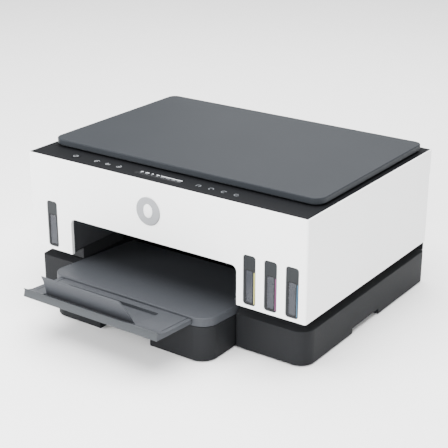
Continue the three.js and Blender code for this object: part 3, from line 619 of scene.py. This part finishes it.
# %% Glass frame and glass
FX0, FX1, FY0, FY1, FZ0, FZ1 = extent("scanner_frame")
GX0, GX1, GY0, GY1, GZ0, GZ1 = extent("scanner_glass")
surround = slab("glass_surround", (FX0, FX1, FY0, FY1), [0.4, 0.4, 2, 2],
                rounded(FZ0, FZ1, 0.1, 0.3), [STRIP_FILM])
carve(surround,
      cutter((GX0 - 0.3, GX1 + 0.3, GY0 - 0.3, GY1 + 0.3), GZ0 - 0.3, FZ1 + 5),
      cutter((GX0 + 2, GX1 - 2, GY0 + 2, GY1 - 2), FZ0 - 5, FZ1 + 5))
finished(surround, "top_unit", 0.2, "charcoal_plastic", "scanner_frame")
glass = slab("flatbed_glass", (GX0, GX1, GY0, GY1), [1] * 4, rounded(GZ0, GZ1, 0.2, 0.2),
             [SCAN_GLASS])
finished(glass, "top_unit", 0, "scan_glass", "scanner_glass")

# %% [markdown]
# ## Scanner lid
# A thin satin slab with wide corners. Its upper edge is a rounded shoulder and its foot is drawn
# in, which leaves a dark line of shadow all round. A rim under it surrounds the white pad and keeps
# that line thin. Two knuckles at the rear carry the hinge.

# %% Lid
LX0, LX1, LY0, LY1, LZ0, LZ1 = extent("scanner_lid")
LID_BOTTOM, LID_REAR = 202.7, Y0 + 147
HINGE_Y, HINGE_Z = Y0 + 150.2, 204
KNUCKLE_X, KNUCKLE_HALF, KNUCKLE_RADIUS, KNUCKLE_EDGE = 150, 14, 2.4, 0.3
WEB_FRONT, WEB_REAR, WEB_LOW, WEB_HIGH = Y0 + 145.5, Y0 + 150.4, 203.0, 206.0
lid_foot = [(2.2, LID_BOTTOM), (1.0, LID_BOTTOM + 0.1)]
lid_profile = np.concatenate([lid_foot, rounded(LID_BOTTOM + 0.3, LZ1, 0.5, 1.4)])
lid = slab("lid_slab", (LX0, LX1, LY0, LID_REAR), [16, 16, 12, 12], lid_profile, [LID_ABS],
           steps=16)
finished(lid, "lid", 0, "lid_grey", "scanner_lid")
knuckle_end = [(KNUCKLE_RADIUS, KNUCKLE_HALF - KNUCKLE_EDGE),
               (KNUCKLE_RADIUS - KNUCKLE_EDGE, KNUCKLE_HALF), (0.01, KNUCKLE_HALF)]
knuckle_profile = [(radius, -along) for radius, along in knuckle_end[::-1]] + knuckle_end
for side, x in (("left", -KNUCKLE_X), ("right", KNUCKLE_X)):
    knuckle = turned(f"lid_knuckle_{side}", knuckle_profile, (x, HINGE_Y, HINGE_Z), [LID_ABS],
                     axis="x", steps=32)
    finished(knuckle, "lid", 0, "lid_grey")
    web = slab(f"lid_web_{side}", (x - KNUCKLE_HALF, x + KNUCKLE_HALF, WEB_FRONT, WEB_REAR),
               [0.3] * 4, rounded(WEB_LOW, WEB_HIGH, 0.2, 0.4), [LID_ABS])
    finished(web, "lid", 0, "lid_grey")
AX0, AX1, AY0, AY1, AZ0, AZ1 = extent("lid_pad")
RIM_LOW = 200.9
rim = slab("lid_rim", (LX0 + 3, LX1 - 3, LY0 + 3, LID_REAR - 3), [13, 13, 9, 9],
           [(0.4, RIM_LOW), (0, RIM_LOW + 0.4), (0, LID_BOTTOM + 0.02)], [LID_ABS], steps=16)
carve(rim, cutter((AX0 - 1, AX1 + 1, AY0 - 1, AY1 + 1), RIM_LOW - 3, LID_BOTTOM + 3, [3] * 4))
finished(rim, "lid", 0, "lid_grey")
pad = slab("lid_foam", (AX0, AX1, AY0, AY1), [3] * 4, rounded(AZ0, AZ1, 0.6, 0.1), [FOAM])
finished(pad, "lid", 0, "pad_foam", "lid_pad")

# %% [markdown]
# ## Base tub
# The dark tub that everything stands in has a wide corner at the front right, a small one at the
# left, and a sloping shoulder that draws back under the housing. It is open in front for the tray.

# %% Base tub
TX0, TX1, TY0, TY1, TZ0, TZ1 = extent("base_tub")
tub_profile = [(0.8, TZ0), (0.25, TZ0 + 0.35), (0, TZ0 + 1.0), (0, 46.6), (0.1, 47.1), (0.4, 47.5),
               (0.9, 47.8), (8.0, TZ1)]
tub = slab("base_moulding", (TX0, TX1, TY0, TY1), [5, 20, 8, 8], tub_profile, [CHARCOAL_ABS],
           steps=14)
TUNNEL_LEFT, TUNNEL_RIGHT, TUB_WALL, TUB_FLOOR = -149.0, 109.5, 12, TZ0 + 2
GRIP_FRONT, GRIP_REAR, GRIP_DEEP, GRIP_TOP = Y0 - 30, Y0 + 40, 8.4, 9
bay_front, bay_rear, above = TY0 + TUB_WALL, TY1 - TUB_WALL, TZ1 + 5
carve(tub,
      cutter((TX0 + TUB_WALL, TUNNEL_LEFT - 2.5, bay_front, bay_rear), TUB_FLOOR, above, [4] * 4),
      cutter((TUNNEL_RIGHT + 2.5, TX1 - TUB_WALL, bay_front, bay_rear), TUB_FLOOR, above, [4] * 4),
      cutter((TUNNEL_LEFT, TUNNEL_RIGHT, TY0 - 5, Y0 + 152), TUB_FLOOR, above),
      cutter((TX0 - 5, TX0 + GRIP_DEEP, GRIP_FRONT, GRIP_REAR), TZ0 - 5, GRIP_TOP, [3] * 4),
      cutter((TX1 - GRIP_DEEP, TX1 + 5, GRIP_FRONT, GRIP_REAR), TZ0 - 5, GRIP_TOP, [3] * 4))
finished(tub, "base", 0.5, "charcoal_plastic", "base_tub")
for name in ("front_left", "front_right", "rear_left", "rear_right"):
    sx0, sx1, sy0, sy1, sz0, sz1 = extent(f"foot_{name}")
    radius = (sx1 - sx0) / 2
    sole_profile = [(0.01, sz0), (radius - 0.5, sz0), (radius - 0.1, sz0 + 0.2),
                    (radius, sz0 + 0.5), (radius, sz1), (0.01, sz1)]
    sole = turned(f"rubber_{name}", sole_profile, ((sx0 + sx1) / 2, (sy0 + sy1) / 2, 0), [RUBBER])
    finished(sole, "base", 0, "rubber", f"foot_{name}")

# %% [markdown]
# ## Paper tray
# The tray's front stands proud of the base, with wide corners and an arch for the fingers. Behind
# it the tray is an open box for the paper.

# %% Paper tray
RX0, RX1, RY0, RY1, RZ0, RZ1 = extent("input_tray")
SLOPE = math.radians(4)
PLATE_TOP = 60.0


def on_slope(points):
    """From the sloping tray's frame to the printer's: a turn by SLOPE about X at the front edge."""
    x, y, z = np.moveaxis(points, -1, 0)
    return np.stack([x, RY0 + y * math.cos(SLOPE) + z * math.sin(SLOPE),
                     PLATE_TOP - y * math.sin(SLOPE) + z * math.cos(SLOPE)], axis=-1)


def sloped(piece):
    points = np.empty(len(piece.data.vertices) * 3)
    piece.data.vertices.foreach_get("co", points)
    piece.data.vertices.foreach_set("co", (on_slope(points.reshape(-1, 3) / MM) * MM).ravel())
    return piece


CORNER = 22.0
TRAY_WALL, TRAY_FLOOR, PAPER_FRONT, PAPER_REAR = 2.5, 6.5, Y0 - 156, Y0 + 146
PLATE_THICK, PLATE_GAP = 11, 0.7
HEAD_REAR, TRAY_UNDER = TY0 - 1.5, 4.0  # behind its head the tray runs over the tub's floor
LOW_FROM, LOW_TOP = RY0 + 150, 36.4  # the rear of the tray has lower walls
GRIP_LEFT, GRIP_RIGHT, ARCH_TOP, ARCH_RADIUS, ARCH_DEEP = -62.0, 20.0, 25.0, 8, 46
left, right, behind = RX0 - 5, RX1 + 5, RY1 + 5
tray = slab("paper_tray", (RX0, RX1, RY0, RY1), [CORNER, CORNER, 1, 1],
            rounded(RZ0, 70, 1.6, 0, 5), [CHARCOAL_ABS], steps=14)
carve(tray,
      sloped(cutter((left, right, -20, 400), -PLATE_THICK - PLATE_GAP, 40)),
      cutter((RX0 + TRAY_WALL, RX1 - TRAY_WALL, PAPER_FRONT, PAPER_REAR), TRAY_FLOOR, 90, [3] * 4),
      cutter((left, right, HEAD_REAR, behind), RZ0 - 5, TRAY_UNDER),
      cutter((left, right, LOW_FROM, behind), LOW_TOP, 90),
      cutter((RZ0 - 9, ARCH_TOP, GRIP_LEFT, GRIP_RIGHT), RY0 - 5, RY0 + ARCH_DEEP,
             (0.2, ARCH_RADIUS, ARCH_RADIUS, 0.2), axis="y", steps=10))
finished(tray, "input_tray", 0.5, "charcoal_plastic", "input_tray")
for name in ("width_guide_left", "width_guide_right", "length_guide"):
    refined(name, name, 0.4, TRAY_ABS, "tray_grey")

# %% [markdown]
# ## Output tray, extension and flap
# The output tray is a grey plate on top of the paper tray, with the extension in a channel under
# it. The extension ends in a raised lip, and a scooped flap stands out of its pocket to stop
# the sheets.

# %% Output tray
PLATE_LENGTH, CHANNEL_LENGTH, CHANNEL_LOW, CHANNEL_HIGH = 170, 126, -9.2, -3.0
EX0, EX1 = -126.5, 86.0  # the sides of the extension
plate = slab("output_plate", (RX0, RX1, 0, PLATE_LENGTH), [CORNER, CORNER, 2, 2],
             rounded(-PLATE_THICK, 0, 0.4, 1.6, 6), [TRAY_ABS], steps=14)
carve(plate,
      cutter((EX0 - 0.5, EX1 + 0.5, -5, CHANNEL_LENGTH), CHANNEL_LOW, CHANNEL_HIGH),
      cutter((EX0 + 5, EX1 - 5, -5, CHANNEL_LENGTH), -15, CHANNEL_HIGH))
sloped(plate)
finished(plate, "output_tray", 0.4, "tray_grey", "output_tray")

# %% Extension


def along_x(name, profile, x0, x1, inset, materials):
    """A (y, z) profile carried from x0 to x1; its ends are pulled in by inset to round them."""
    profile = np.asarray(profile, float)
    middle = profile.mean(axis=0)
    stations = [(x0, inset), (x0 + 0.4 * inset, 0.3 * inset), (x0 + inset, 0), (x1 - inset, 0),
                (x1 - 0.4 * inset, 0.3 * inset), (x1, inset)]
    rings = []
    for x, pull in stations:
        away = profile - middle
        size = np.maximum(np.abs(away), 1e-6)
        shrunk = middle + np.sign(away) * np.maximum(size - pull, 0)
        rings.append(np.column_stack([np.full(len(profile), x), shrunk]))
    return grid_piece(name, np.array(rings), materials)


lip_turn = np.radians(np.linspace(0, 180, 9))
lip_top = np.column_stack([-67.2 - 0.98 * np.cos(lip_turn[::-1] - math.pi),
                           1.15 + 1.0 * np.sin(lip_turn)])
ramp = np.linspace(0, 1, 9)[1:]
ramp_line = np.column_stack([-66.2 + 14.0 * ramp, 1.1 - 4.4 * (1 - (1 - ramp) ** 1.6)])
slide_back = [(-68.2, -8.3), (-67.6, -8.9), (59.6, -8.9), (60, -8.5), (60, -3.7), (59.6, -3.3)]
extension_profile = np.concatenate([slide_back, ramp_line[::-1], lip_top])
extension = along_x("tray_slide", extension_profile, EX0, EX1, 0.4, [TRAY_ABS, LIP_ABS])
carve(extension, cutter((-103, 45, -60, -11), -7.3, 20, [3] * 4),
      cutter((79.0, 80.2, -50, 58), -3.9, 20),
      cutter((EX0 + 5.8, EX0 + 7.0, -50, 58), -3.9, 20))
flat = np.empty(len(extension.data.polygons) * 3)
extension.data.polygons.foreach_get("center", flat)
centres = flat.reshape(-1, 3) / MM
extension.data.polygons.foreach_set("material_index", (centres[:, 1] < -66.0).astype(int))
sloped(extension)
finished(extension, "tray_extension", 0.25, "tray_grey", "tray_extension")

# %% [markdown]
# The flap is a surface of two parameters: u runs from the hinge to the free edge and v across it.
# Its height is a shallow arch, h(u) = -4 b u (1 - u), and its width narrows in a straight line.
# The same grid, shifted by the thickness, makes the other face, and the rim joins them.

# %% Flap
FLAP_AXIS = (-55.0, -3.9)
FLAP_TURN = math.radians(120)
FLAP_LENGTH, FLAP_WIDTH, FLAP_LEFT = 36.5, 142, -100
ARCH, HALF_THICK, FLAP_RIM = 1.2, 0.9, 1.2


def flap_rings():
    """The paper stop before it is opened: 25 rows along u, each up one face and down the other."""
    u = np.linspace(0, 1, 25)
    arch = -4 * ARCH * u * (1 - u)
    across = np.array([0, 0.4, 1.2, 20, 60, 82, 122, 140.8, 141.6, 142])
    left = FLAP_LEFT + 9 * u
    narrow = (FLAP_WIDTH - 18 * u) / FLAP_WIDTH
    edge = np.clip(np.minimum(across, FLAP_WIDTH - across) / FLAP_RIM, 0, 1)
    thick = HALF_THICK * np.sqrt(1 - (1 - edge) ** 2 * 0.9)
    tip = np.clip((1 - u) * FLAP_LENGTH / HALF_THICK, 0, 1)
    taper = np.sqrt(1 - (1 - tip) ** 2 * 0.9)
    x = left[:, None] + narrow[:, None] * across
    y = np.repeat((0.6 + FLAP_LENGTH * u)[:, None], len(across), axis=1)
    half = taper[:, None] * thick
    middle = arch[:, None] - HALF_THICK
    top = np.stack([x, y, middle + half], axis=2)
    bottom = np.stack([x, y, middle - half], axis=2)
    return np.concatenate([bottom, top[:, ::-1]], axis=1)


def opened(points):
    """Turns the flap about its hinge from lying back to standing open."""
    x, y, z = np.moveaxis(points, -1, 0)
    c, s = math.cos(FLAP_TURN), math.sin(FLAP_TURN)
    return np.stack([x, FLAP_AXIS[0] + y * c - z * s, FLAP_AXIS[1] + y * s + z * c], axis=-1)


flap = grid_piece("paper_stop", on_slope(opened(flap_rings())), [TRAY_ABS])
finished(flap, "extension_flap", 0, "tray_grey", "extension_flap")
barrel_profile = [(0.01, -100), (1.5, -100), (1.7, -99.8), (1.7, 41.8), (1.5, 42), (0.01, 42)]
barrel = turned("paper_stop_barrel", barrel_profile, (0, 0, 0), [TRAY_ABS], axis="x", steps=24)
points = np.empty(len(barrel.data.vertices) * 3)
barrel.data.vertices.foreach_get("co", points)
seat = points.reshape(-1, 3) / MM + [0, *FLAP_AXIS]
barrel.data.vertices.foreach_set("co", (on_slope(seat) * MM).ravel())
finished(barrel, "extension_flap", 0, "tray_grey")

# %% [markdown]
# ## Rear
# The rear panel has a door for clearing jams, the mains inlet, a data socket and one key.

# %% Rear
refined("rear_access_door", "rear_door", 0.5, CHARCOAL_ABS, "charcoal_plastic")
refined("power_inlet", "base", 0.4, SOCKET_ABS, "black_plastic")
refined("usb_port", "base", 0.3, STEEL, "steel")
refined("wireless_button", "wireless_button", 0.4, TRAY_ABS, "tray_grey")
refined("rear_panel", "base", 0.6, CHARCOAL_ABS, "charcoal_plastic")

# %% [markdown]
# ## Mechanism
# Inside, the shapes of the model are already right. Each gets merged corners, rounded edges and
# the finish of its own material, except that the chassis and the exit duct are drawn lighter
# than their black plastic: painted light.

# %% Mechanism
INNER = {
    # chassis and exit_duct: lighter copies of the black inner plastic, painted light
    "chassis": ("base", 0.4, CHASSIS_PAINTED_LIGHT_ABS, "black_plastic"),
    "exit_duct": ("base", 0.6, DUCT_PAINTED_LIGHT_ABS, "black_plastic"),
    "platen": ("base", 0.3, INNER_ABS, "black_plastic"),
    "carriage_rail": ("base", 0.3, STEEL, "steel"),
    "carriage_motor": ("base", 0.8, STEEL, "steel"),
    "timing_belt": ("base", 0.1, RUBBER, "rubber"),
    "service_station": ("base", 0.6, TRAY_ABS, "tray_grey"),
    "power_supply": ("base", 1.2, INNER_ABS, "black_plastic"),
    "main_board": ("base", 0.2, BOARD, "circuit_board"),
    "feed_roller": ("feed_roller", 0.2, RUBBER, "rubber"),
    "transfer_gear": ("transfer_gear", 0.2, NYLON, "nylon"),
    "exit_roller": ("exit_roller", 0.2, RUBBER, "rubber"),
    "pick_arm": ("pick_arm", 0.3, INNER_ABS, "black_plastic"),
    "pick_roller": ("pick_roller", 0.5, RUBBER, "rubber"),
    "drive_pulley": ("drive_pulley", 0.2, NYLON, "nylon"),
    "idler_pulley": ("idler_pulley", 0.2, NYLON, "nylon"),
    "carriage": ("carriage", 0.8, INNER_ABS, "black_plastic"),
    "printheads": ("carriage", 0.5, HEAD_PLASTIC, "printhead_plastic"),
    "printhead_latch": ("printhead_latch", 0.6, LATCH_ABS, "latch_blue"),
    "scanner_bed": ("top_unit", 0.6, INNER_ABS, "black_plastic"),
    "scan_bar": ("scan_bar", 0.5, INNER_ABS, "black_plastic"),
}
for name, (body, edge, material, slot) in INNER.items():
    refined(name, body, edge, material, slot)
for ink in WINDOW_X:
    refined(f"tank_{ink}", "base", 0.6, TANK_PLASTIC, "tank_plastic")
    refined(f"cap_{ink}", f"cap_{ink}", 0.5, INK[ink], "black_plastic")

# %% [markdown]
# ## Floor
# A plain pale sheet that meets the white world without a line.

# %% Floor
floor_mesh = bpy.data.meshes.new("floor")
floor_mesh.from_pydata([(-6, -6, 0), (6, -6, 0), (6, 6, 0), (-6, 6, 0)], [], [(0, 1, 2, 3)])
floor = bpy.data.objects.new("floor", floor_mesh)
bpy.context.collection.objects.link(floor)
floor_mesh.materials.append(moulded("pale_paper_floor", "FAFAFA", "F8F8F8", 0.9, 0.004, 0.00002))
